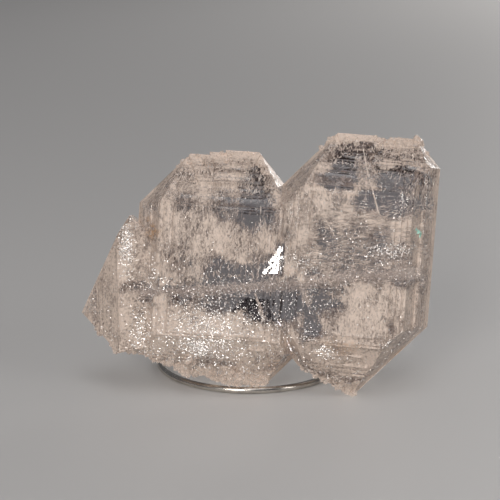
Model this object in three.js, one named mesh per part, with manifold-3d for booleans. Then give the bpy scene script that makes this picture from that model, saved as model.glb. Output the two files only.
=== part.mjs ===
// Faden quartz: a plate of three quartz crystals grown side by side, propped on a plain wire ring.
// Millimetres, +Z up. The plate faces -Y and leans back. The origin is under the middle of the whole piece.
import * as THREE from "three";
import { ConvexGeometry } from "three/addons/geometries/ConvexGeometry.js";
import { mergeVertices } from "three/addons/utils/BufferGeometryUtils.js";
import Module from "manifold-3d";

const wasm = await Module();
wasm.setup();

// The ring of the stand, a closed loop of round wire lying flat
const RING_OUTER_DIAMETER = 24.6;
const WIRE_DIAMETER = 0.85;
const WIRE_SIDES = 12;
const RING_STEPS = 72;

// How the plate stands: the lower tip of the middle crystal rests on the front of the ring.
// The foot is the place of that tip, seen from the middle of the ring.
const PLATE_LEAN = 13;
const PLATE_TURN = 3;
const REST_GAP = 0.25;
const FOOT_OF_PLATE = new THREE.Vector3(0, -12.0, WIRE_DIAMETER + REST_GAP);

// Quartz: the angle between the long axis and the normal of a rhomb face
const RHOMB_ANGLE = 51.8;

// The crystals are given in the plate: u to the right, v up and w to the front, from the foot of the plate.
// at: the middle of the crystal. lean: clockwise, in the plate. turn: about the long axis.
// across: how far it reaches to the left and right. depth: to the back and front.
// top, bottom: the heights at which the faces on each side would meet the long axis.
const RIGHT_CRYSTAL = {
  at: [13, 15.3, 0.1],
  lean: 3.8,
  turn: -2,
  across: [-11.6, 9.0],
  depth: [4.3, 4.4],
  top: { front: 15.4, back: 15.5, left: 20.1, right: 23.1 },
  bottom: { front: 15.5, back: 15.3, left: 19.9, right: 17.3 },
};
const MIDDLE_CRYSTAL = {
  at: [-5, 15, -0.2],
  lean: 3.3,
  turn: 3,
  across: [-9.2, 11.6],
  depth: [4.5, 4.3],
  top: { front: 13.1, back: 13.2, left: 17.7, right: 20.0 },
  bottom: { front: 14.3, back: 14.2, left: 21.5, right: 23.0 },
};

// Parallel growth on a main crystal: slices of it, across a stretch of its width, that have grown further.
// front, back: how much deeper. top, bottom: how much taller. They leave ledges, stripes and a stepped crest.
const RIGHT_BANDS = [
  { across: [-9, 9.45], front: -1.9, back: -1.6, top: 0.1, bottom: 0.05 },
  { across: [-10.6, 8.5], front: 0.12, back: 0.3, top: 0.15, bottom: 0.1 },
  { across: [-9.9, 7.9], front: 0.25, back: 0.55, top: 0.1, bottom: -0.1 },
  { across: [-8.6, 7.2], front: 0.36, back: 0.2, top: -0.6, bottom: -0.9 },
  { across: [-7.6, 3.2], front: -0.9, back: 0.1, top: 0.35, bottom: -1 },
  { across: [-5.8, 2.4], front: -1.7, back: -0.5, top: 0.55, bottom: -3 },
  { across: [-3.6, 1.4], front: -2.5, back: -1.0, top: 0.75, bottom: -3 },
  { across: [-0.6, 6.2], front: -1.3, back: -0.4, top: 0.4, bottom: -2 },
  { across: [3.4, 9.1], front: -2.1, back: -0.7, top: 0.7, bottom: -3 },
  { across: [-6.4, 3.8], front: -0.7, back: -0.3, top: -3, bottom: 0.35 },
  { across: [-4.4, 4.2], front: -1.5, back: -0.9, top: -4, bottom: 0.6 },
  { across: [-2.2, 3.4], front: -2.2, back: -1.6, top: -4, bottom: 0.9 },
];
const MIDDLE_BANDS = [
  { across: [-9.5, 6], front: -1.6, back: -1.8, top: 0.05, bottom: 0 },
  { across: [-8.7, 10.4], front: 0.12, back: 0.25, top: 0.1, bottom: 0.05 },
  { across: [-7.6, 9.7], front: 0.24, back: 0.5, top: -0.1, bottom: -0.2 },
  { across: [-6.4, 7.9], front: -0.8, back: -0.4, top: 0.15, bottom: -1 },
  { across: [-3.8, 7.4], front: -1.6, back: -0.9, top: 0.6, bottom: -2 },
  { across: [-1.2, 6.4], front: -2.4, back: -1.5, top: 1.0, bottom: -3 },
  { across: [0.8, 5.2], front: -3, back: -2.2, top: 1.35, bottom: -3 },
  { across: [3.2, 9.4], front: -0.6, back: -0.5, top: -2, bottom: 0.35 },
];

// The lower left edges of the middle and right crystals are broken off, from the tip up to the left.
// cutter: the size of the block that takes the broken corner away.
const MIDDLE_BREAK = { from: [1, -0.1], slope: 15.5 };
const RIGHT_BREAK = { from: [12.9, -0.9], slope: 27 };
const BREAK_CUTTER = 60;

// The stubby left crystal shows two faces with an upright edge between them.
// faces: [azimuth from the front towards the right, tilt of the normal above level, distance]
const LEFT_CRYSTAL = {
  at: [-13.2, 11.4, -0.5],
  lean: -2,
  turn: 0,
  faces: [
    [15, 0, 3.7],
    [-45, 0, 5.4],
    [-100, 0, 8.5],
    [195, 0, 4.1],
    [135, 0, 5.8],
    [75, 0, 7.6],
    [-90, 29.2, 6.15],
    [90, 47.2, 6.15],
    [20, 38.2, 7.6],
    [200, 38.2, 7.4],
    [-90, -47.2, 7.35],
    [20, -38.2, 6.9],
    [200, -38.2, 6.8],
    [80, -80, 6.6],
  ],
};

// A short side crystal behind the plate, from its root in the plate down to the surface inside the ring.
// It is the third foot of the plate.
const FOOT_CRYSTAL = {
  root: [-0.6, 11, -3],
  tip: [0.9, 1.95, -13.2],
  across: 3.2,
  depth: 2.7,
};

// Rows of small crystals along the ragged edges. from, to: the row, in u and v. out: the way that the
// points face, in degrees from the right. size: across. depth: how far the row spreads front to back.
const TOOTH_ROWS = [
  { from: [-12.4, 4.1], to: [-6.4, 2.4], out: 254, count: 8, size: [1.3, 2.2], depth: [-2.6, 2.6] },
  { from: [-6.4, 2.3], to: [-1.4, 0.95], out: 262, count: 8, size: [1.0, 1.7], depth: [-1.6, 1.6] },
  { from: [-17.4, 5.2], to: [-12.6, 4.7], out: 262, count: 7, size: [1.1, 1.9], depth: [-2.0, 2.0] },
  { from: [-18.6, 7.6], to: [-17.1, 6.2], out: 228, count: 3, size: [1.4, 1.9], depth: [-1.2, 0.2] },
  { from: [-8.4, 27.3], to: [-3.4, 28.0], out: 98, count: 6, size: [1.1, 1.7], depth: [-0.5, 0.5] },
  { from: [16.4, 30.2], to: [19.0, 29.8], out: 84, count: 3, size: [1.0, 1.5], depth: [-0.6, 0.6] },
  { from: [19.8, 30.0], to: [20.9, 29.9], out: 84, count: 2, size: [1.4, 1.9], depth: [-0.4, 0.6] },
  { from: [9.2, 30.0], to: [11.0, 30.7], out: 118, count: 3, size: [0.9, 1.3], depth: [-0.5, 0.5] },
  { from: [7.6, 2.9], to: [12.4, 0.5], out: 246, count: 7, size: [1.2, 1.9], depth: [-1.6, 1.8] },
];

// The form of those small crystals, in shares of their size: how far the point, the sides and the end faces
// reach. sway, twist: how far they turn away from the row, in degrees.
const TOOTH_FORM = { point: [0.6, 0.85], side: [0.4, 0.6], ends: [1, 1.4], sway: 14, twist: 30 };

const DEGREE = Math.PI / 180;

// Random numbers that are the same each time
const RANDOM_SEED = 20;
let randomState = RANDOM_SEED;
function random() {
  randomState = (randomState + 0x6d2b79f5) | 0;
  let t = Math.imul(randomState ^ (randomState >>> 15), 1 | randomState);
  t = (t + Math.imul(t ^ (t >>> 7), 61 | t)) ^ t;
  return ((t ^ (t >>> 14)) >>> 0) / 4294967296;
}
const between = ([low, high]) => low + (high - low) * random();
const spread = (amount) => (random() * 2 - 1) * amount;

// A closed geometry as a solid, and a solid as a geometry
function solidOf(geometry) {
  const bare = geometry.clone();
  bare.deleteAttribute("normal");
  bare.deleteAttribute("uv");
  const merged = mergeVertices(bare, 1e-4);
  return new wasm.Manifold(
    new wasm.Mesh({
      numProp: 3,
      vertProperties: merged.attributes.position.array,
      triVerts: new Uint32Array(merged.index.array),
    }),
  );
}
function geometryOf(solid) {
  const mesh = solid.getMesh();
  const geometry = new THREE.BufferGeometry();
  geometry.setAttribute("position", new THREE.BufferAttribute(mesh.vertProperties, 3));
  geometry.setIndex(new THREE.BufferAttribute(mesh.triVerts, 1));
  geometry.computeVertexNormals();
  return geometry;
}

// The plate's u, v and w are x, z and -y of its group
const inPlate = ([u, v, w]) => new THREE.Vector3(u, -w, v);

// A flat crystal face: its normal by azimuth (0 front, 90 right) and tilt, and its distance from the middle
function face(azimuth, tilt, distance) {
  const level = Math.cos(tilt * DEGREE);
  const right = level * Math.sin(azimuth * DEGREE);
  const front = level * Math.cos(azimuth * DEGREE);
  return new THREE.Plane(inPlate([right, Math.sin(tilt * DEGREE), front]), -distance);
}

// The corners of the body that all the faces enclose
function cornersOf(faces) {
  const corners = [];
  const tolerance = 1e-6;
  for (let i = 0; i < faces.length; i++)
    for (let j = i + 1; j < faces.length; j++)
      for (let k = j + 1; k < faces.length; k++) {
        const trio = [faces[i], faces[j], faces[k]];
        const rows = new THREE.Matrix3().set(...trio.flatMap((f) => f.normal.toArray()));
        if (Math.abs(rows.determinant()) < tolerance) continue;
        const corner = new THREE.Vector3(...trio.map((f) => -f.constant)).applyMatrix3(rows.invert());
        if (faces.every((f) => f.distanceToPoint(corner) < tolerance)) corners.push(corner);
      }
  return corners;
}
function crystalSolid(faces, place) {
  return solidOf(new ConvexGeometry(cornersOf(faces)).applyMatrix4(place));
}
function placeOf({ at, lean, turn }) {
  const turned = new THREE.Euler(0, lean * DEGREE, turn * DEGREE, "XYZ");
  return new THREE.Matrix4().makeRotationFromEuler(turned).setPosition(inPlate(at));
}

// The faces of a tabular quartz crystal, with six sides and six rhomb faces at each end
function tabularFaces({ across, depth, top, bottom }) {
  const [left, right] = across;
  const side = Math.cos(30 * DEGREE);
  const tilt = 90 - RHOMB_ANGLE;
  const rise = Math.sin(tilt * DEGREE);
  const faces = [face(0, 0, depth[1]), face(180, 0, depth[0])];
  for (const azimuth of [60, 120]) {
    faces.push(face(azimuth, 0, right * side), face(-azimuth, 0, -left * side));
    faces.push(face(azimuth, tilt, top.right * rise), face(-azimuth, tilt, top.left * rise));
    faces.push(face(azimuth, -tilt, bottom.right * rise), face(-azimuth, -tilt, bottom.left * rise));
  }
  faces.push(face(0, tilt, top.front * rise), face(180, tilt, top.back * rise));
  faces.push(face(0, -tilt, bottom.front * rise), face(180, -tilt, bottom.back * rise));
  return faces;
}

// A main crystal and the slices of it that have grown further
function grownBand(crystal, { across, front, back, top, bottom }) {
  const taller = (end, by) => ({ ...end, front: end.front + by, back: end.back + by });
  return {
    ...crystal,
    across,
    depth: [crystal.depth[0] + back, crystal.depth[1] + front],
    top: taller(crystal.top, top),
    bottom: taller(crystal.bottom, bottom),
  };
}
function tabularCrystal(crystal, bands) {
  const slices = [crystal, ...bands.map((band) => grownBand(crystal, band))];
  return slices.map((slice) => crystalSolid(tabularFaces(slice), placeOf(slice)));
}

// A crystal with one point, along a line from its root to its tip
function footCrystal() {
  const root = inPlate(FOOT_CRYSTAL.root);
  const tip = inPlate(FOOT_CRYSTAL.tip);
  const axis = tip.clone().sub(root);
  const reach = axis.length() / 2;
  const end = { front: reach, back: reach, left: reach, right: reach };
  const { across, depth } = FOOT_CRYSTAL;
  const faces = tabularFaces({ across: [-across, across], depth: [depth, depth], top: end, bottom: end });
  const up = new THREE.Vector3(0, 0, 1);
  const turned = new THREE.Quaternion().setFromUnitVectors(up, axis.normalize());
  const place = new THREE.Matrix4().makeRotationFromQuaternion(turned);
  return crystalSolid(faces, place.setPosition(root.add(tip).multiplyScalar(0.5)));
}

// A small pointed crystal at a place in the plate, with its point along a direction in the plate
function tooth(at, out, size) {
  const { point, side, ends, twist } = TOOTH_FORM;
  const reach = size * between(point);
  const half = () => size * between(side);
  const slant = () => reach * between(ends);
  const end = () => ({ front: reach, back: reach, left: slant(), right: slant() });
  const faces = tabularFaces({ across: [-half(), half()], depth: [half(), half()], top: end(), bottom: end() });
  return crystalSolid(faces, placeOf({ at, lean: 90 - out, turn: spread(twist) }));
}
function toothRow({ from, to, out, count, size, depth }) {
  const teeth = [];
  for (let i = 0; i < count; i++) {
    const along = (i + 0.5 + spread(0.25)) / count;
    const u = from[0] + (to[0] - from[0]) * along;
    const v = from[1] + (to[1] - from[1]) * along;
    teeth.push(tooth([u, v, between(depth)], out + spread(TOOTH_FORM.sway), between(size)));
  }
  return teeth;
}

// What is left of a crystal's slices above a broken lower edge
function breakEdge(solids, { from, slope }) {
  const waste = new THREE.BoxGeometry(BREAK_CUTTER, BREAK_CUTTER, BREAK_CUTTER);
  waste.translate(-BREAK_CUTTER / 2, 0, -BREAK_CUTTER / 2);
  waste.rotateY(slope * DEGREE);
  waste.translate(...inPlate([...from, 0]).toArray());
  return solids.map((solid) => solid.subtract(solidOf(waste)));
}

function quartzSolid() {
  const solids = [
    ...breakEdge(tabularCrystal(MIDDLE_CRYSTAL, MIDDLE_BANDS), MIDDLE_BREAK),
    ...breakEdge(tabularCrystal(RIGHT_CRYSTAL, RIGHT_BANDS), RIGHT_BREAK),
    crystalSolid(LEFT_CRYSTAL.faces.map((numbers) => face(...numbers)), placeOf(LEFT_CRYSTAL)),
    footCrystal(),
    ...TOOTH_ROWS.flatMap(toothRow),
  ];
  return solids.reduce((whole, solid) => whole.add(solid));
}

// The wire has a flat side below, so that the ring lies on a level face
function ringGeometry() {
  const step = (2 * Math.PI) / WIRE_SIDES;
  const radius = WIRE_DIAMETER / 2 / Math.cos(step / 2);
  const middle = (RING_OUTER_DIAMETER - WIRE_DIAMETER) / 2;
  const section = [];
  for (let i = 0; i <= WIRE_SIDES; i++) {
    const angle = ((i % WIRE_SIDES) + 0.5) * step;
    section.push(new THREE.Vector2(middle + radius * Math.cos(angle), radius * Math.sin(angle)));
  }
  const ring = new THREE.LatheGeometry(section, RING_STEPS);
  ring.rotateX(Math.PI / 2);
  ring.translate(0, 0, WIRE_DIAMETER / 2);
  return geometryOf(solidOf(ring));
}

const quartzMaterial = new THREE.MeshStandardMaterial({ color: 0xd9cdc4, roughness: 0.15, metalness: 0 });
const steelMaterial = new THREE.MeshStandardMaterial({ color: 0xb9b2a8, roughness: 0.25, metalness: 1 });

const quartz = new THREE.Mesh(geometryOf(quartzSolid()), quartzMaterial);
quartz.name = "quartz";

const ring = new THREE.Mesh(ringGeometry(), steelMaterial);
ring.name = "ring_stand";

// The plate stands turned and leaning on the ring
const plate = new THREE.Group();
plate.add(quartz);
plate.rotation.set(-PLATE_LEAN * DEGREE, 0, -PLATE_TURN * DEGREE, "ZYX");
plate.position.copy(FOOT_OF_PLATE);

const specimen = new THREE.Group();
specimen.add(plate, ring);

// The origin goes under the middle of the whole piece
const part = new THREE.Group();
part.add(specimen);
part.updateMatrixWorld(true);
const box = new THREE.Box3().setFromObject(part, true);
const centre = box.getCenter(new THREE.Vector3());
specimen.position.set(-centre.x, -centre.y, -box.min.z);

export default part;
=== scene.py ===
import math

import bmesh
import bpy
import numpy as np
from mathutils import Matrix, Vector, noise
from mathutils.bvhtree import BVHTree


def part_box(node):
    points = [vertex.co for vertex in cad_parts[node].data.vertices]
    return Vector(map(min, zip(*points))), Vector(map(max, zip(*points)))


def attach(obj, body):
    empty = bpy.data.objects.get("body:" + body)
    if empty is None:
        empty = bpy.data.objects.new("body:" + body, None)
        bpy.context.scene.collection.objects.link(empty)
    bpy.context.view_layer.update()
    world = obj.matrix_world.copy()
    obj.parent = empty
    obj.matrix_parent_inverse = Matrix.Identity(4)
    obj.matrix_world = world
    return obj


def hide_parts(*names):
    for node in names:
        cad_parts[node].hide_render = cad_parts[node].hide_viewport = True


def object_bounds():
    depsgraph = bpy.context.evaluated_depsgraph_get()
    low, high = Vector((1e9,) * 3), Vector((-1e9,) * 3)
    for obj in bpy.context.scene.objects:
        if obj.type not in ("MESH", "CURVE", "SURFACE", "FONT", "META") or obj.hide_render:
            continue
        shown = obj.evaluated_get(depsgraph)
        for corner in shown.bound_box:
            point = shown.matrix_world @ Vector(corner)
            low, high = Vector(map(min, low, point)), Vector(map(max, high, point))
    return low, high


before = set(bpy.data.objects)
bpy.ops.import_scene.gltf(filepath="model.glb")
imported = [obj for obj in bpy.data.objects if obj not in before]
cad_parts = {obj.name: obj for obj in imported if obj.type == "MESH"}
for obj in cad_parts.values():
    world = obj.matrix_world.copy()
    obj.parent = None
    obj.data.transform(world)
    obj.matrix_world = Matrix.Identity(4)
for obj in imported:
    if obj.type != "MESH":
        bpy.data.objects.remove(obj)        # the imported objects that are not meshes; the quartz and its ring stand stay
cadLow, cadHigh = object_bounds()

mm = 0.001
scene = bpy.context.scene
print("frame loaded, CAD box", [round(v / mm, 2) for v in cadHigh - cadLow], "mm")


# node building: a value is a socket that adds Math nodes when it is used in an expression
class Value:
    def __init__(self, finish, socket):
        self.finish = finish
        self.socket = socket

    def math(self, operation, first, second):
        sockets = {0: first, 1: second}
        return self.finish.node("ShaderNodeMath", dict(operation=operation), sockets)

    def __add__(self, other):
        return self.math("ADD", self, other)

    def __radd__(self, other):
        return self.math("ADD", other, self)

    def __sub__(self, other):
        return self.math("SUBTRACT", self, other)

    def __rsub__(self, other):
        return self.math("SUBTRACT", other, self)

    def __mul__(self, other):
        return self.math("MULTIPLY", self, other)

    def __rmul__(self, other):
        return self.math("MULTIPLY", other, self)


# one material and its nodes
class Finish:
    def __init__(self, name):
        self.material = bpy.data.materials.new(name)
        self.material.use_nodes = True
        self.nodes = self.material.node_tree.nodes
        self.links = self.material.node_tree.links
        self.nodes.clear()

    # settings are set first, then the values or links of the sockets
    def node(self, kind, settings=None, sockets=None, out=0):
        made = self.nodes.new(kind)
        for key, value in (settings or {}).items():
            if key == "stops":
                self.setStops(made.color_ramp, value)
            else:
                setattr(made, key, value)
        for key, value in (sockets or {}).items():
            if isinstance(value, Value):
                self.links.new(value.socket, made.inputs[key])
            else:
                made.inputs[key].default_value = value
        if out is None:
            return None
        if isinstance(out, tuple):
            return [Value(self, made.outputs[name]) for name in out]
        return Value(self, made.outputs[out])

    def setStops(self, ramp, stops):
        while len(ramp.elements) < len(stops):
            ramp.elements.new(0.5)
        for element, (place, colour) in zip(ramp.elements, stops):
            element.position = place
            element.color = colour

    def output(self, shader, volume=None):
        sockets = {"Surface": shader, "Volume": volume} if volume else {"Surface": shader}
        self.node("ShaderNodeOutputMaterial", sockets=sockets, out=None)
        return self.material

    # a place on the piece in millimetres of the frame, stretched by scale
    def place(self, scale=(1, 1, 1)):
        coords = self.node("ShaderNodeTexCoord", out="Object")
        perMm = tuple(s / mm for s in scale)
        return self.node("ShaderNodeMapping", sockets={"Vector": coords, "Scale": perMm})

    def noise(self, vector, scale, detail=3.0, roughness=0.5, distortion=0.0):
        sockets = {"Vector": vector, "Scale": scale, "Detail": detail}
        sockets.update({"Roughness": roughness, "Distortion": distortion})
        return self.node("ShaderNodeTexNoise", sockets=sockets)

    # a value moved from one range to another, and clamped
    def spread(self, value, low, high, toLow=0.0, toHigh=1.0):
        sockets = {"Value": value, "From Min": low, "From Max": high, "To Min": toLow, "To Max": toHigh}
        return self.node("ShaderNodeMapRange", sockets=sockets)

    def mixColour(self, factor, first, second):
        return self.node("ShaderNodeMix", dict(data_type="RGBA"), {0: factor, 6: first, 7: second}, out=2)

    def bump(self, height, strength, distance, normal=None):
        sockets = {"Height": height, "Strength": strength, "Distance": distance}
        if normal:
            sockets["Normal"] = normal
        return self.node("ShaderNodeBump", sockets=sockets)


# where the plate of crystals stands: its foot from the middle of the ring, in millimetres and degrees
plateStand = dict(lean=13.0, turn=3.0, foot=(0.0, -12.0, 1.1))

ringLow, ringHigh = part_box("ring_stand")
ringMiddle = Vector(((ringLow.x + ringHigh.x) / 2, (ringLow.y + ringHigh.y) / 2, ringLow.z))


# u to the right in the plate, v up and w to the front, in millimetres, to the frame
def makePlateFrame():
    foot = Matrix.Translation(ringMiddle + Vector(plateStand["foot"]) * mm)
    turn = Matrix.Rotation(-math.radians(plateStand["turn"]), 4, "Z")
    lean = Matrix.Rotation(-math.radians(plateStand["lean"]), 4, "X")
    axes = Matrix(((1, 0, 0, 0), (0, 0, -1, 0), (0, 1, 0, 0), (0, 0, 0, 1)))
    return foot @ turn @ lean @ Matrix.Scale(mm, 4) @ axes


plateToFrame = makePlateFrame()
frameToPlate = plateToFrame.inverted()


def addPiece(name, mesh, material, nodeName=None):
    piece = bpy.data.objects.new(name, mesh)
    scene.collection.objects.link(piece)
    mesh.materials.append(material)
    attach(piece, "root")
    if nodeName:
        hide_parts(nodeName)
    print(name, len(mesh.polygons), "faces")
    return piece


# the camera of the photograph: seen from the middle of the ring, in millimetres
cameraSet = dict(target=(0.0, -8.0, 17.6), elevation=14.8, distance=210.0, lens=121.0, sensor=36.0, near=10.0)


def makeCamera():
    data = bpy.data.cameras.new("camera")
    data.sensor_width = cameraSet["sensor"]
    data.lens = cameraSet["lens"]
    data.clip_start = cameraSet["near"] * mm
    up = math.radians(cameraSet["elevation"])
    back = Vector((0, -math.cos(up), math.sin(up)))
    camera = bpy.data.objects.new("camera", data)
    target = ringMiddle + Vector(cameraSet["target"]) * mm
    camera.location = target + back * cameraSet["distance"] * mm
    camera.rotation_euler = (-back).to_track_quat("-Z", "Y").to_euler()
    scene.collection.objects.link(camera)
    scene.camera = camera


makeCamera()

# floor and light: a pale floor, a low soft key at the front left, a fill at the right, and soft lights
# from above and behind. aim: what the lights point at, in millimetres from the middle of the ring.
stageSet = dict(floor=(0.58, 0.575, 0.57), floorRough=0.55, floorSize=6.0, world=(0.12, 0.12, 0.125),
                aim=(0.0, -6.0, 14.0))
lights = [
    dict(name="key", at=(-0.14, -0.42, 0.22), size=0.16, power=1.15, colour=(1.0, 0.955, 0.91)),
    dict(name="fill", at=(0.40, -0.26, 0.20), size=0.22, power=0.42, colour=(1.0, 0.97, 0.94)),
    dict(name="top", at=(0.02, -0.18, 0.54), size=0.30, power=0.62, colour=(0.98, 0.98, 1.0)),
    dict(name="back", at=(0.26, 0.50, 0.18), size=0.22, power=0.85, colour=(1.0, 0.97, 0.94)),
]


def makeStage():
    bm = bmesh.new()
    bmesh.ops.create_grid(bm, x_segments=1, y_segments=1, size=stageSet["floorSize"] / 2)
    mesh = bpy.data.meshes.new("floor")
    bm.to_mesh(mesh)
    bm.free()
    floor = bpy.data.objects.new("floor", mesh)
    scene.collection.objects.link(floor)
    finish = Finish("paleFloor")
    colour = stageSet["floor"] + (1.0,)
    sockets = {"Base Color": colour, "Roughness": stageSet["floorRough"]}
    shader = finish.node("ShaderNodeBsdfPrincipled", sockets=sockets)
    mesh.materials.append(finish.output(shader))


def makeLights():
    world = bpy.data.worlds.new("studio")
    world.use_nodes = True
    world.node_tree.nodes["Background"].inputs["Color"].default_value = stageSet["world"] + (1.0,)
    scene.world = world
    aim = ringMiddle + Vector(stageSet["aim"]) * mm
    for light in lights:
        data = bpy.data.lights.new(light["name"], "AREA")
        data.size = light["size"]
        data.energy = light["power"]
        data.color = light["colour"]
        lamp = bpy.data.objects.new(light["name"], data)
        lamp.location = light["at"]
        lamp.rotation_euler = (aim - lamp.location).to_track_quat("-Z", "Y").to_euler()
        scene.collection.objects.link(lamp)


makeStage()
makeLights()
scene.view_settings.view_transform = "Standard"
scene.cycles.transparent_max_bounces = 32
print("stage and lights made")

# the ring stand: polished round wire, cloudy in places, with fine scratches around it
ringSet = dict(turns=180, sides=24, colour=(0.66, 0.62, 0.57, 1.0), dark=(0.40, 0.37, 0.34, 1.0),
               cloud=dict(scale=0.5, detail=4.0), cloudEdge=(0.45, 0.75),
               scratch=dict(scale=1.4, detail=6.0, roughness=0.65), scratchStretch=(0.6, 0.6, 9),
               scratchEdge=(0.35, 0.7), rough=(0.12, 0.32), bump=(0.25, 0.00002))


def makeRingFinish():
    finish = Finish("wireSteel")
    cloud = finish.noise(finish.place(), **ringSet["cloud"])
    scratch = finish.noise(finish.place(ringSet["scratchStretch"]), **ringSet["scratch"])
    worn = finish.spread(cloud, *ringSet["cloudEdge"])
    colour = finish.mixColour(worn, ringSet["colour"], ringSet["dark"])
    rough = finish.spread(scratch, *ringSet["scratchEdge"], *ringSet["rough"])
    normal = finish.bump(scratch, *ringSet["bump"])
    sockets = {"Base Color": colour, "Metallic": 1.0, "Roughness": rough, "Normal": normal}
    return finish.output(finish.node("ShaderNodeBsdfPrincipled", sockets=sockets))


def makeRing():
    wire = (ringHigh.z - ringLow.z) / 2
    radius = (ringHigh.x - ringLow.x) / 2 - wire
    bm = bmesh.new()
    section = bmesh.ops.create_circle(bm, segments=ringSet["sides"], radius=wire)["verts"]
    bmesh.ops.rotate(bm, verts=section, matrix=Matrix.Rotation(math.pi / 2, 3, "X"))
    centre = ringMiddle + Vector((0, 0, wire))
    bmesh.ops.translate(bm, verts=section, vec=centre + Vector((radius, 0, 0)))
    spun = dict(axis=(0, 0, 1), angle=math.tau, steps=ringSet["turns"], use_merge=True)
    bmesh.ops.spin(bm, geom=bm.verts[:] + bm.edges[:], cent=centre, **spun)
    bmesh.ops.remove_doubles(bm, verts=bm.verts, dist=1e-7)
    bmesh.ops.recalc_face_normals(bm, faces=bm.faces)
    mesh = bpy.data.meshes.new("wire_ring")
    bm.to_mesh(mesh)
    bm.free()
    mesh.shade_smooth()
    return addPiece("wire_ring", mesh, makeRingFinish(), "ring_stand")


makeRing()

# the solid as a tree, to find how deep the plate is at a place
solidMesh = bmesh.new()
solidMesh.from_mesh(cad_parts["quartz"].data)
solidTree = BVHTree.FromBMesh(solidMesh)
solidMesh.free()
frontAxis = (plateToFrame.to_3x3() @ Vector((0, 0, 1))).normalized()


# the back and front of the plate at u and v, in w, or nothing beside it
def plateDepth(u, v, reach=18.0):
    ahead = solidTree.ray_cast(plateToFrame @ Vector((u, v, reach)), -frontAxis)[0]
    behind = solidTree.ray_cast(plateToFrame @ Vector((u, v, -reach)), frontAxis)[0]
    if ahead is None or behind is None:
        return None
    return (frameToPlate @ behind).z, (frameToPlate @ ahead).z


def plateThickness(u, v):
    depth = plateDepth(u, v)
    return depth[1] - depth[0] if depth else 0.0


def ramp(value, low, high):
    share = min(1.0, max(0.0, (value - low) / (high - low)))
    return share * share * (3 - 2 * share)


# zones of the plate: middle in u and v, half sizes, and strength. The windows have little film or flakes,
# the sugary and level ones their own grain, the soft ones more film, and the stained ones some rust.
clearWindows = [
    ((0.4, 22.0), (2.2, 2.9), 1.0),
    ((1.0, 26.2), (0.8, 1.7), 0.9),
    ((-3.2, 22.2), (1.8, 1.4), 0.6),
    ((-8.4, 22.7), (1.3, 1.4), 0.5),
    ((-12.6, 21.5), (0.6, 1.4), 0.5),
    ((10.9, 26.0), (2.3, 1.4), 1.0),
    ((11.8, 27.8), (0.7, 0.9), 0.8),
    ((18.2, 26.0), (3.5, 1.4), 0.85),
    ((17.0, 23.2), (4.8, 1.3), 0.95),
    ((13.0, 17.4), (5.2, 3.0), 0.45),
    ((-2.5, 14.2), (3.4, 1.7), 0.85),
    ((2.4, 12.5), (8.6, 1.2), 0.9),
    ((2.6, 10.4), (7.8, 1.6), 1.0),
    ((7.5, 7.8), (1.1, 1.7), 0.85),
    ((7.6, 14.2), (1.3, 0.6), 0.7),
    ((15.5, 14.2), (6.0, 0.9), 0.8),
    ((-9.5, 11.8), (4.5, 0.8), 0.65),
    ((17.3, 7.9), (0.6, 1.0), 0.5),
    ((-15.0, 12.3), (0.8, 1.0), 0.5),
    ((-11.0, 13.4), (0.5, 1.4), 0.6),
]
# clear bars with straight sides near the top and over the large bright crack: left and right in u, foot
# and top in v
clearBars = [((11.0, 16.1), (29.75, 30.5)), ((10.2, 16.1), (28.4, 29.45)), ((10.6, 12.8), (25.6, 28.4)),
             ((3.2, 4.2), (16.5, 18.0)), ((2.4, 4.2), (15.3, 16.5)), ((1.1, 4.1), (13.8, 15.3))]
sugarZones = [
    ((-6.0, 4.5), (10.0, 5.0), 1.0),
    ((-16.5, 11.0), (4.5, 10.0), 0.8),
    ((13.0, 2.5), (7.0, 3.6), 0.9),
]
levelZones = [
    ((14.0, 18.0), (8.0, 4.5), 1.0),
    ((1.0, 10.6), (7.0, 1.6), 0.7),
]
softZones = [((16.0, 9.4), (5.2, 3.4), 1.0), ((-18.4, 10.6), (1.9, 5.6), 0.9)]
stainZones = [
    ((-12.4, 19.3), (0.7, 0.9), 1.0),
    ((11.5, 5.5), (2.5, 0.8), 0.35),
    ((19.4, 4.2), (1.8, 1.2), 0.35),
    ((3.7, 2.6), (1.8, 1.1), 0.35),
]


# how far the rims of the zones stray, in millimetres, and how fast: a broad and a fine drift. fade: where
# a zone begins to fade and where it ends, in half sizes.
zoneDrift = dict(drifts=((1.3, 0.40), (0.5, 1.3)), layers=(3.0, 8.0), fade=(0.65, 1.4))


def inZone(u, v, zones):
    atU, atV = u, v
    for reach, pace in zoneDrift["drifts"]:
        atU += noise.noise(Vector((u * pace, v * pace, zoneDrift["layers"][0]))) * reach
        atV += noise.noise(Vector((u * pace, v * pace, zoneDrift["layers"][1]))) * reach
    best = 0.0
    for (midU, midV), (halfU, halfV), strength in zones:
        away = math.hypot((atU - midU) / halfU, (atV - midV) / halfV)
        best = max(best, strength * (1.0 - ramp(away, *zoneDrift["fade"])))
    return best


# how far inside a bar a place is, soft over the given stretch
def inBars(u, v, soft=0.25):
    best = 0.0
    for (left, right), (foot, top) in clearBars:
        inside = min(u - left, right - u, v - foot, top - v)
        best = max(best, ramp(inside, -soft, soft))
    return best


# the crystals' outside: the solid cut in small cells, with low growth relief in its faces. across and up:
# the stretch that is cut, in u and v. crease: the angle past which an edge stays sharp.
shellSet = dict(cell=0.4, across=(-22.0, 24.5), up=(-2.0, 32.5), flat=0.4, crease=14.0,
                ripple=0.05, ripplePace=(0.9, 0.28, 0.9),
                rough=0.14, roughPace=(1.7, 1.4, 1.7), roughShift=(9, 4, 2))

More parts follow.
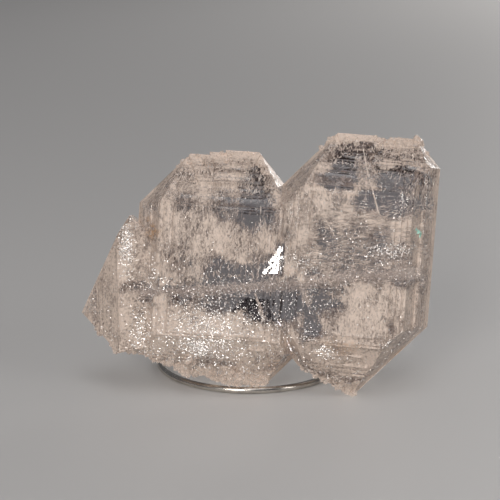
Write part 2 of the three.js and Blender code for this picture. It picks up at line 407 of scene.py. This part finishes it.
# a thin pale film of fine cracks in the faces: how much of a stretch it takes, in the open, in the zones
# and at the rims. rim and gap: the thickness of the plate where the rim ends, and of the clear line
# inside it. foot: how far back the film goes.
filmSet = dict(open=0.61, sugar=0.76, soft=0.74, window=0.11, border=0.82, rim=(1.6, 2.9), gap=(3.0, 4.2),
               gapCut=0.55, foot=-5.6)


def filmCover(u, v, w, thick):
    if w < filmSet["foot"]:
        return filmSet["window"]        # the side crystal behind the plate is clear
    cover = filmSet["open"]
    for zones, key in ((sugarZones, "sugar"), (softZones, "soft"), (clearWindows, "window")):
        cover += (filmSet[key] - cover) * inZone(u, v, zones)
    border = 1 - ramp(thick, *filmSet["rim"])
    low, high = filmSet["gap"]
    gap = 1 - min(1.0, abs(thick - (low + high) / 2) / (high - low) * 2)
    cover = max(cover - filmSet["gapCut"] * gap, filmSet["border"] * border)
    return cover + (filmSet["window"] - cover) * inBars(u, v)


def paced(place, pace):
    return Vector([at * step for at, step in zip(place, pace)])


def shellRelief(place):
    ripple = 0.5 + 0.5 * noise.noise(paced(place, shellSet["ripplePace"]))
    grain = 0.5 + 0.5 * noise.noise(paced(place, shellSet["roughPace"]) + Vector(shellSet["roughShift"]))
    sugary = inZone(place.x, place.y, sugarZones)
    return shellSet["ripple"] * ripple + shellSet["rough"] * sugary * grain


def sliceUp(bm, axis, low, high):
    normal = (plateToFrame.to_3x3() @ axis).normalized()
    count = int((high - low) / shellSet["cell"])
    for i in range(1, count):
        at = plateToFrame @ (axis * (low + i * shellSet["cell"]))
        everything = bm.verts[:] + bm.edges[:] + bm.faces[:]
        bmesh.ops.bisect_plane(bm, geom=everything, dist=1e-7, plane_co=at, plane_no=normal)


def makeShellMesh():
    bm = bmesh.new()
    bm.from_mesh(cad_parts["quartz"].data)
    bmesh.ops.remove_doubles(bm, verts=bm.verts, dist=2e-6)
    flat = math.radians(shellSet["flat"])
    bmesh.ops.dissolve_limit(bm, angle_limit=flat, verts=bm.verts, edges=bm.edges)
    sliceUp(bm, Vector((1, 0, 0)), *shellSet["across"])
    sliceUp(bm, Vector((0, 1, 0)), *shellSet["up"])
    bm.normal_update()
    crease = math.radians(shellSet["crease"])
    onEdge = [any(edge.calc_face_angle(0.0) > crease for edge in vert.link_edges) for vert in bm.verts]
    places = [frameToPlate @ vert.co for vert in bm.verts]
    for vert, place, edge in zip(bm.verts, places, onEdge):
        if not edge:
            vert.co -= vert.normal * shellRelief(place) * mm
    mesh = bpy.data.meshes.new("quartz_crystals")
    bm.to_mesh(mesh)
    bm.free()
    rim = [plateThickness(u, v) for u, v, w in places]
    mesh.attributes.new("rim", "FLOAT", "POINT").data.foreach_set("value", rim)
    film = []
    for (u, v, w), thick in zip(places, rim):
        film += [filmCover(u, v, w, thick), inZone(u, v, sugarZones), inZone(u, v, levelZones)]
    mesh.attributes.new("film", "FLOAT_VECTOR", "POINT").data.foreach_set("vector", film)
    stain = [inZone(u, v, stainZones) for u, v, w in places]
    mesh.attributes.new("stain", "FLOAT", "POINT").data.foreach_set("value", stain)
    mesh.shade_smooth()
    mesh.set_sharp_from_angle(angle=crease)
    return mesh


filmTones = dict(pale=(0.76, 0.625, 0.535, 1.0), dim=(0.39, 0.315, 0.265, 1.0), rust=(0.46, 0.25, 0.10, 1.0),
                 glass=(0.985, 0.975, 0.97, 1.0), haze=(0.65, 0.63, 0.65, 1.0), hazeDensity=240.0)

# the noises that draw the film: their stretch per millimetre, and their settings
filmNoises = dict(
    upright=((4.0, 4.0, 1.5), dict(scale=1.0, detail=6.0, roughness=0.70, distortion=0.8)),
    lying=((0.9, 2.0, 4.4), dict(scale=1.0, detail=6.0, roughness=0.70, distortion=0.6)),
    sugar=((1, 1, 1), dict(scale=3.4, detail=5.0, roughness=0.72)),
    broad=((1, 1, 0.4), dict(scale=0.8, detail=4.0)),
    cloudy=((1, 1, 0.7), dict(scale=0.38, detail=3.0, roughness=0.55)),
)

# bare: the noise at which the film begins where there is no cover, and how much cover, patches and growth
# lines change it. milky and pale: where the film is clear and full, and dim and pale. rim: where the
# growth lines end.
filmLook = dict(bare=0.80, perCover=0.60, perPatch=3.2, perLine=0.34, milky=(-0.08, 0.12), most=0.92,
                grain=0.5, pale=(-0.06, 0.27), stain=(0.35, 0.6), line=(0.40, 0.47), rim=(4.4, 5.6),
                lineNoise=dict(Scale=1.6, Detail=2.0, Roughness=0.6), filmRough=0.26,
                glassRough=(0.02, 0.09), glassEdge=(0.4, 0.7), lowBump=(0.35, 0.0001),
                fineBump=(0.25, 0.00004),
                grainBump=(0.8, 0.00016), grainShare=(0.4, 0.6), ior=1.544)


# how dense the film is at a place: below nothing there is none
def filmDensity(finish, upright, lying, sugar, cloudy):
    film = finish.node("ShaderNodeAttribute", dict(attribute_name="film"), out="Vector")
    cover, sugary, level = finish.node("ShaderNodeSeparateXYZ", sockets={0: film}, out=("X", "Y", "Z"))
    rim = finish.node("ShaderNodeAttribute", dict(attribute_name="rim"), out="Fac")
    lineSockets = {"W": rim, **filmLook["lineNoise"]}
    growth = finish.node("ShaderNodeTexNoise", dict(noise_dimensions="1D"), lineSockets)
    atRim = finish.spread(rim, *filmLook["rim"], 1.0, 0.0)
    lines = finish.spread(growth, *filmLook["line"], 1.0, 0.0) * atRim
    pattern = upright + sugary * (sugar - upright)
    pattern = pattern + level * (lying - pattern)
    patchy = cover * (1 - cover) * (cloudy - 0.5)        # no effect where the film is full or missing
    bare = filmLook["bare"] - filmLook["perCover"] * cover - filmLook["perPatch"] * patchy
    return pattern - bare - filmLook["perLine"] * lines, sugary


def makeQuartzFinish():
    finish = Finish("clearQuartz")
    noises = [finish.noise(finish.place(stretch), **settings) for stretch, settings in filmNoises.values()]
    upright, lying, sugar, broad, cloudy = noises
    dense, sugary = filmDensity(finish, upright, lying, sugar, cloudy)
    milky = finish.spread(dense, *filmLook["milky"], 0.0, filmLook["most"])
    # dense film is paler
    pale = finish.spread(dense + filmLook["grain"] * (sugar - 0.5), *filmLook["pale"])
    tone = finish.mixColour(pale, filmTones["dim"], filmTones["pale"])
    stain = finish.node("ShaderNodeAttribute", dict(attribute_name="stain"), out="Fac")
    colour = finish.mixColour(stain * finish.spread(sugar, *filmLook["stain"]), tone, filmTones["rust"])
    normal = finish.bump(sugar, *filmLook["fineBump"], finish.bump(broad, *filmLook["lowBump"]))
    plain, extra = filmLook["grainShare"]
    grainy = finish.bump(sugar * (plain + extra * sugary), *filmLook["grainBump"])
    rough = finish.spread(broad, *filmLook["glassEdge"], *filmLook["glassRough"])
    glass = {"Base Color": filmTones["glass"], "Roughness": rough, "IOR": filmLook["ior"]}
    glass.update({"Transmission Weight": 1.0, "Normal": normal})
    clear = finish.node("ShaderNodeBsdfPrincipled", sockets=glass)
    white = {"Base Color": colour, "Roughness": filmLook["filmRough"], "Normal": grainy}
    cracked = finish.node("ShaderNodeBsdfPrincipled", sockets=white)
    haze = {"Color": filmTones["haze"], "Density": filmTones["hazeDensity"]}
    inside = finish.node("ShaderNodeVolumeAbsorption", sockets=haze)
    return finish.output(finish.node("ShaderNodeMixShader", sockets={0: milky, 1: clear, 2: cracked}), inside)


shellMesh = makeShellMesh()
shell = addPiece("quartz_crystals", shellMesh, makeQuartzFinish(), "quartz")
shell.visible_shadow = False        # light goes through to what lies inside


# many small things as one mesh: copies of a small closed shape, each with its own place in the plate
def makeCopies(name, shape, places):
    bmesh.ops.triangulate(shape, faces=shape.faces)
    shape.verts.index_update()
    corners = np.array([vert.co for vert in shape.verts])
    faces = np.array([[vert.index for vert in face.verts] for face in shape.faces])
    shape.free()
    moves = np.array([np.array(plateToFrame @ place) for place in places])
    points = np.einsum("nij,vj->nvi", moves[:, :3, :3], corners) + moves[:, None, :3, 3]
    starts = np.arange(len(places))[:, None, None] * len(corners)
    mesh = bpy.data.meshes.new(name)
    mesh.from_pydata(points.reshape(-1, 3), [], (starts + faces).reshape(-1, 3))
    mesh.validate()
    return mesh


# a flake with a pointed back and front, or with three rings a short prism between two points
def roundShape(sides, rings=2):
    bm = bmesh.new()
    bmesh.ops.create_uvsphere(bm, u_segments=sides, v_segments=rings, radius=1.0)
    return bm


def blockShape():
    bm = bmesh.new()
    bmesh.ops.create_cube(bm, size=2.0)
    return bm


# a flake's place: long along its x, thin along its z, turned in the plate and tipped out of it
def flakePlace(rng, family, u, v, w, size):
    along = math.radians(family["along"] + rng.normal() * family["sway"])
    lie = family.get("face", Matrix()) @ Matrix.Rotation(along, 4, "Z")
    yaw = Matrix.Rotation(math.radians(rng.normal() * family.get("yaw", 20)), 4, "Y")
    tip = Matrix.Rotation(math.radians(rng.normal() * family["tilt"]), 4, "X")
    half = (size / 2, rng.uniform(*family["wide"]) / 2, family["thick"] / 2, 1)
    return Matrix.Translation((u, v, w)) @ lie @ yaw @ tip @ Matrix.Diagonal(half)


# flakes spread over a stretch of u and v. along: the way of the long side, in degrees from the right, and
# sway how far it strays. deep: the share of the depth, from back to front. clear: how far the clear
# windows stay empty. In scatterSet, margin is the room to the faces, a fixed part and a share of the
# flake, and back where flakes end.
scatterSet = dict(tries=3, pace=(0.5, 0.35), cloud=(0.1, 0.6), margin=(0.2, 0.45), back=-5.0, lineUnder=0.04)


def scatterArea(family):
    rng = np.random.RandomState(family["seed"])
    (u0, u1), (v0, v1) = family["box"]
    paceU, paceV = scatterSet["pace"]
    fixed, perSize = scatterSet["margin"]
    made = []
    for _ in range(family["count"] * scatterSet["tries"]):
        if len(made) == family["count"]:
            break
        u, v = rng.uniform(u0, u1), rng.uniform(v0, v1)
        cloud = 0.5 + 0.5 * noise.noise(Vector((u * paceU, v * paceV, family["seed"])))
        bare = max(inZone(u, v, clearWindows), inBars(u, v))
        keep = (1 - family["clear"] * bare) * ramp(cloud, *scatterSet["cloud"])
        size = rng.uniform(*family["long"])
        share = rng.uniform(*family["deep"])
        depth = plateDepth(u, v) if rng.uniform() < keep else None
        if depth is None:
            continue
        margin = fixed + perSize * size
        back, front = max(depth[0], scatterSet["back"]) + margin, depth[1] - margin
        if front > back:
            made.append(flakePlace(rng, family, u, v, back + (front - back) * share, size))
    return made


# flakes along a line in u and v, thick at the line and thin beside it
def scatterLine(family):
    rng = np.random.RandomState(family["seed"])
    points = np.array(family["line"])
    marks = np.linspace(0, 1, len(points))
    made = []
    for _ in range(family["count"]):
        share = rng.uniform()
        u, v = (float(np.interp(share, marks, points[:, k])) for k in (0, 1))
        half = family["half"][0] + (family["half"][1] - family["half"][0]) * share
        u += rng.normal() * half * family["aside"]
        v += rng.normal() * half
        w = family["deep"][0] + rng.normal() * family["deep"][1]
        depth = plateDepth(u, v)
        if depth:
            w = min(w, depth[1] - scatterSet["lineUnder"])
            made.append(flakePlace(rng, family, u, v, w, rng.uniform(*family["long"])))
    return made


streakSet = dict(seed=3, count=9000, box=((-13.5, 4.5), (13.5, 29.5)), long=(0.25, 1.1), wide=(0.05, 0.15),
                 thick=0.03, along=86, sway=16, tilt=45, deep=(0.1, 0.97), clear=0.93)
riseSet = dict(seed=5, count=7000, box=((3.5, 22.5), (14.0, 31.5)), long=(0.2, 0.9), wide=(0.05, 0.14),
               thick=0.03, along=82, sway=28, tilt=50, deep=(0.1, 0.97), clear=0.95)
levelSet = dict(seed=7, count=4000, box=((5.0, 22.0), (12.5, 23.5)), long=(0.3, 1.4), wide=(0.04, 0.12),
                thick=0.03, along=4, sway=9, tilt=50, deep=(0.2, 0.97), clear=0.55)
sugarSet = dict(seed=11, count=20000, box=((-20.5, 22.0), (-0.5, 14.0)), long=(0.10, 0.38), wide=(0.07, 0.22),
                thick=0.05, along=60, sway=90, tilt=80, deep=(0.1, 0.98), clear=0.96)
leftSet = dict(seed=13, count=3500, box=((-21.0, -12.5), (5.0, 21.0)), long=(0.12, 0.5), wide=(0.07, 0.22),
               thick=0.05, along=100, sway=60, tilt=80, deep=(0.1, 0.98), clear=0.6)
# fine white needles and small tufts
needleSets = [
    dict(seed=31, line=((13.7, 29.7), (14.3, 26.6), (15.2, 23.4), (15.7, 21.6)), count=90, half=(0.02, 0.06),
         aside=1.0, deep=(6.0, 0.0), long=(0.3, 0.8), wide=(0.07, 0.13), thick=0.06,
         along=105, sway=5, tilt=20),
    dict(seed=33, line=((6.6, 24.6), (8.4, 22.2), (10.2, 19.3)), count=60, half=(0.02, 0.03),
         aside=1.0, deep=(6.0, 0.0), long=(0.3, 0.8), wide=(0.05, 0.09), thick=0.05,
         along=124, sway=5, tilt=20),
    dict(seed=35, line=((0.7, 11.6), (1.3, 9.9), (1.7, 8.5)), count=160, half=(0.08, 0.25),
         aside=0.9, deep=(2.6, 0.5), long=(0.15, 0.5), wide=(0.05, 0.15), thick=0.05,
         along=95, sway=30, tilt=50),
    dict(seed=37, line=((6.4, 12.6), (7.0, 11.4), (7.4, 10.2)), count=200, half=(0.35, 0.12),
         aside=1.2, deep=(2.6, 0.5), long=(0.15, 0.5), wide=(0.05, 0.18), thick=0.05,
         along=75, sway=40, tilt=50),
]
flakeLook = dict(noise=dict(scale=1.2, detail=3.0), blend=(0.35, 0.65), gloss=(0.3, 0.7), rough=(0.25, 0.5),
                 fracture=((0.84, 0.75, 0.68, 1.0), (0.70, 0.60, 0.53, 1.0)),
                 thread=((0.90, 0.81, 0.75, 1.0), (0.80, 0.71, 0.65, 1.0)))


def makeFlakeFinish(name, light, dark):
    finish = Finish(name)
    tone = finish.noise(finish.place(), **flakeLook["noise"])
    colour = finish.mixColour(finish.spread(tone, *flakeLook["blend"]), light, dark)
    rough = finish.spread(tone, *flakeLook["gloss"], *flakeLook["rough"])
    sockets = {"Base Color": colour, "Roughness": rough}
    return finish.output(finish.node("ShaderNodeBsdfPrincipled", sockets=sockets))


def addFlakes(name, shape, places, material):
    return addPiece(name, makeCopies(name, shape, places), material)


fractureFinish = makeFlakeFinish("fractureWhite", *flakeLook["fracture"])
uprightPlaces = scatterArea(streakSet) + scatterArea(riseSet)
for family in needleSets:
    uprightPlaces += scatterLine(family)
addFlakes("upright_flakes", roundShape(4), uprightPlaces, fractureFinish)
addFlakes("sugary_flakes", roundShape(4), scatterArea(sugarSet), fractureFinish)
addFlakes("level_flakes", roundShape(4), scatterArea(levelSet) + scatterArea(leftSet), fractureFinish)

# the faden: a soft thread of very small cracks across the plate
fadenSet = dict(seed=23, count=20000, half=(0.20, 0.58), aside=0.0, deep=(0.6, 0.8), long=(0.06, 0.30),
                wide=(0.04, 0.10), thick=0.04, along=4, sway=30, tilt=90,
                line=((-16.5, 11.2), (-12.7, 11.5), (-4.0, 12.1), (4.0, 12.8), (12.5, 13.8), (21.0, 14.6)))
# more of it near the front on the right, where it is widest
fadenRight = {**fadenSet, "seed": 25, "line": ((6.0, 13.1), (12.5, 13.8), (21.0, 14.6)), "count": 4600,
              "half": (0.30, 0.48), "deep": (2.6, 0.5)}
threadPlaces = scatterLine(fadenSet) + scatterLine(fadenRight)
addFlakes("faden_thread", roundShape(4), threadPlaces, makeFlakeFinish("milkyThread", *flakeLook["thread"]))

# bright flakes: clean cracks that mirror the light, most of them nearly along one plane of the crystals
# and close under the faces. under: how far, in millimetres. least: the thickness of plate that they need.
crackNormal = Vector((-0.098, 0.127, 0.986))
crackFace = Vector((0, 0, 1)).rotation_difference(crackNormal).to_matrix().to_4x4()
sparkSet = dict(long=(0.06, 0.21), wide=(0.04, 0.13), thick=0.02, along=70, sway=90, tilt=8, yaw=8,
                face=crackFace, under=(0.0, 0.11), least=2.0)
sparkSpots = [
    dict(seed=29, spot=(-3.0, 8.0), half=(9.0, 6.0), count=2600),
    dict(seed=31, spot=(13.0, 14.0), half=(6.0, 8.0), count=1100),
    dict(seed=41, spot=(-6.0, 4.7), half=(0.7, 0.6), count=260),
    dict(seed=43, spot=(-15.3, 17.4), half=(0.5, 1.9), count=620),
    dict(seed=45, spot=(-5.0, 7.0), half=(3.6, 2.4), count=2200),
    dict(seed=47, spot=(9.4, 4.6), half=(0.8, 0.4), count=200),
    dict(seed=49, spot=(-13.4, 6.8), half=(0.6, 1.8), count=320),
    dict(seed=51, spot=(-11.0, 13.8), half=(1.0, 1.2), count=220),
    dict(seed=53, spot=(5.4, 15.4), half=(1.8, 0.9), count=320),
    dict(seed=55, spot=(17.3, 17.2), half=(1.4, 0.6), count=300),
]


def scatterSpot(spot):
    family = {**sparkSet, **spot}
    rng = np.random.RandomState(spot["seed"])
    made = []
    for _ in range(spot["count"]):
        u = spot["spot"][0] + rng.normal() * spot["half"][0]
        v = spot["spot"][1] + rng.normal() * spot["half"][1]
        depth = plateDepth(u, v)
        if depth and depth[1] - depth[0] > sparkSet["least"]:
            w = depth[1] - rng.uniform(*sparkSet["under"])
            made.append(flakePlace(rng, family, u, v, w, rng.uniform(*family["long"])))
    return made


mirrorLook = dict(noise=dict(scale=1.5, detail=2.0), light=(0.97, 0.95, 0.93, 1.0),
                  dark=(0.90, 0.87, 0.85, 1.0),
                  metallic=0.6, gloss=(0.3, 0.7), rough=(0.10, 0.22))


def makeSparkFinish():
    finish = Finish("crackMirror")
    tone = finish.noise(finish.place(), **mirrorLook["noise"])
    colour = finish.mixColour(tone, mirrorLook["light"], mirrorLook["dark"])
    rough = finish.spread(tone, *mirrorLook["gloss"], *mirrorLook["rough"])
    sockets = {"Base Color": colour, "Metallic": mirrorLook["metallic"], "Roughness": rough}
    return finish.output(finish.node("ShaderNodeBsdfPrincipled", sockets=sockets))


mirrorFinish = makeSparkFinish()
sparkPlaces = []
for spot in sparkSpots:
    sparkPlaces += scatterSpot(spot)
addFlakes("bright_flakes", roundShape(6), sparkPlaces, mirrorFinish)

# one large bright crack beside the middle: stepped plates in pairs, wider towards its foot. left, cut,
# gap and right: where the two plates of a row begin and end, in shares of its width. jog, step, tip and
# turn: how far each plate strays aside, in depth, in tilt and in its plane.
glintSet = dict(seed=61, top=(3.8, 17.6), foot=(2.5, 14.2), rows=11, wide=(0.5, 2.5), depth=0.08, thick=0.02,
                left=(0.0, 0.2), cut=(0.25, 0.75), gap=(0.02, 0.12), right=(0.85, 1.1),
                jog=(-0.08, 0.08), fill=(0.7, 1.0), tall=(0.36, 0.55), step=(-0.04, 0.0), tip=0.03,
                turn=(-0.2, 0.2))


def between(ends, share):
    return ends[0] + (ends[1] - ends[0]) * share


def glintPlate(rng, u, v, wide, rowHeight, low, high):
    middle = u + wide * ((low + high) / 2 - 0.5) + rng.uniform(*glintSet["jog"])
    halfWide = wide * (high - low) / 2 * rng.uniform(*glintSet["fill"])
    halfTall = rowHeight * rng.uniform(*glintSet["tall"])
    w = plateDepth(middle, v)[1] - glintSet["depth"] + rng.uniform(*glintSet["step"])
    tip = Matrix.Rotation(rng.normal() * glintSet["tip"], 4, "Y")
    turn = Matrix.Rotation(rng.uniform(*glintSet["turn"]), 4, "Z")
    size = Matrix.Diagonal((halfWide, halfTall, glintSet["thick"], 1))
    return Matrix.Translation((middle, v, w)) @ crackFace @ tip @ turn @ size


def glintPlaces():
    rng = np.random.RandomState(glintSet["seed"])
    rowHeight = (glintSet["top"][1] - glintSet["foot"][1]) / glintSet["rows"]
    places = []
    for row in range(glintSet["rows"]):
        share = (row + 0.5) / glintSet["rows"]
        u, v = (between((glintSet["top"][k], glintSet["foot"][k]), share) for k in (0, 1))
        wide = between(glintSet["wide"], share)
        cut = rng.uniform(*glintSet["cut"])
        first = (rng.uniform(*glintSet["left"]), cut)
        second = (cut + rng.uniform(*glintSet["gap"]), rng.uniform(*glintSet["right"]))
        for low, high in (first, second):
            places.append(glintPlate(rng, u, v, wide, rowHeight, low, high))
    return places


addFlakes("bright_crack", blockShape(), glintPlaces(), mirrorFinish)

# a small crack with rainbow colours near the right edge. places: u, v, half size and turn in degrees.
rainbowSet = dict(places=((20.4, 19.6, 0.55, 20), (20.7, 19.2, 0.40, 70), (20.2, 19.9, 0.28, -30)),
                  depth=0.05, thick=0.03, noise=dict(scale=1.6, detail=2.0), metallic=0.3,
                  gloss=(0.3, 0.7), rough=(0.15, 0.3),
                  stops=[(0.30, (0.66, 0.46, 0.58, 1.0)), (0.45, (0.32, 0.62, 0.50, 1.0)),
                         (0.58, (0.42, 0.70, 0.66, 1.0)), (0.70, (0.78, 0.74, 0.50, 1.0))])


def makeRainbowFinish():
    finish = Finish("rainbowCrack")
    tone = finish.noise(finish.place(), **rainbowSet["noise"])
    colour = finish.node("ShaderNodeValToRGB", dict(stops=rainbowSet["stops"]), {0: tone})
    rough = finish.spread(tone, *rainbowSet["gloss"], *rainbowSet["rough"])
    sockets = {"Base Color": colour, "Metallic": rainbowSet["metallic"], "Roughness": rough}
    return finish.output(finish.node("ShaderNodeBsdfPrincipled", sockets=sockets))


def rainbowPlaces():
    places = []
    for u, v, size, turn in rainbowSet["places"]:
        at = Matrix.Translation((u, v, plateDepth(u, v)[1] - rainbowSet["depth"]))
        half = Matrix.Diagonal((size, size, rainbowSet["thick"], 1))
        places.append(at @ crackFace @ Matrix.Rotation(math.radians(turn), 4, "Z") @ half)
    return places


addFlakes("rainbow_crack", roundShape(3), rainbowPlaces(), makeRainbowFinish())

# small frosted points along the ragged edges. zones: where they grow, in u and v, and how many are tried.
# edge: how thick the plate is there. probe: how far apart its slope is measured. fan and stray: how far
# the points spread.
pointSet = dict(seed=71, size=(0.18, 0.60), slim=(0.5, 0.85), edge=(0.15, 2.2), ringGap=0.9,
                probe=0.3, level=1e-6, fan=1.6, stray=0.3,
                zones=(((-20.5, 2.0), (-0.5, 8.0), 6500), ((6.5, 13.2), (-1.0, 5.0), 2200),
                       ((-11.0, 2.0), (27.0, 30.5), 130), ((8.5, 22.0), (29.0, 32.0), 200)),
                noise=dict(scale=4.0, detail=3.0), light=(0.78, 0.70, 0.64, 1.0),
                dark=(0.56, 0.49, 0.44, 1.0),
                gloss=(0.3, 0.7), rough=(0.15, 0.45), ior=1.544, clear=0.5)
wireRadius = (ringHigh.x - ringLow.x) / 2 - (ringHigh.z - ringLow.z) / 2


# the way that the plate gets thinner, in u and v
def thinWay(u, v):
    step = pointSet["probe"]
    return Vector((plateThickness(u - step, v) - plateThickness(u + step, v),
                   plateThickness(u, v - step) - plateThickness(u, v + step), 0))


# a point stays off the wire and inside the solids' box
def pointFits(at, size):
    side = at - ringMiddle
    aside = math.hypot(math.hypot(side.x, side.y) - wireRadius, side.z) / mm
    room = min(at.z - cadLow.z, cadHigh.z - at.z, cadHigh.x - at.x, at.x - cadLow.x) / mm
    return aside > pointSet["ringGap"] and room > size


def scatterPoints():
    rng = np.random.RandomState(pointSet["seed"])
    least, most = pointSet["edge"]
    made = []
    for (u0, u1), (v0, v1), count in pointSet["zones"]:
        for _ in range(count):
            u, v = rng.uniform(u0, u1), rng.uniform(v0, v1)
            turn, size, slim = rng.normal(), rng.uniform(*pointSet["size"]), rng.uniform(*pointSet["slim"])
            share = rng.uniform()
            depth = plateDepth(u, v)
            if depth is None or not least < depth[1] - depth[0] < most:
                continue
            slope = thinWay(u, v)
            if slope.length < pointSet["level"]:
                continue
            w = depth[0] + (depth[1] - depth[0]) * share
            spread = Vector((turn * pointSet["stray"], 0, pointSet["fan"] * (share - 0.5)))
            lie = (slope.normalized() + spread).to_track_quat("Z", "Y").to_matrix().to_4x4()
            if pointFits(plateToFrame @ Vector((u, v, w)), size):
                half = Matrix.Diagonal((size * slim, size * slim, size, 1))
                made.append(Matrix.Translation((u, v, w)) @ lie @ half)
    return made


def makePointFinish():
    finish = Finish("frostedPoints")
    fine = finish.noise(finish.place(), **pointSet["noise"])
    colour = finish.mixColour(fine, pointSet["light"], pointSet["dark"])
    rough = finish.spread(fine, *pointSet["gloss"], *pointSet["rough"])
    sockets = {"Base Color": colour, "Roughness": rough, "IOR": pointSet["ior"]}
    sockets["Transmission Weight"] = pointSet["clear"]
    return finish.output(finish.node("ShaderNodeBsdfPrincipled", sockets=sockets))


addFlakes("edge_points", roundShape(6, 3), scatterPoints(), makePointFinish()).visible_shadow = False
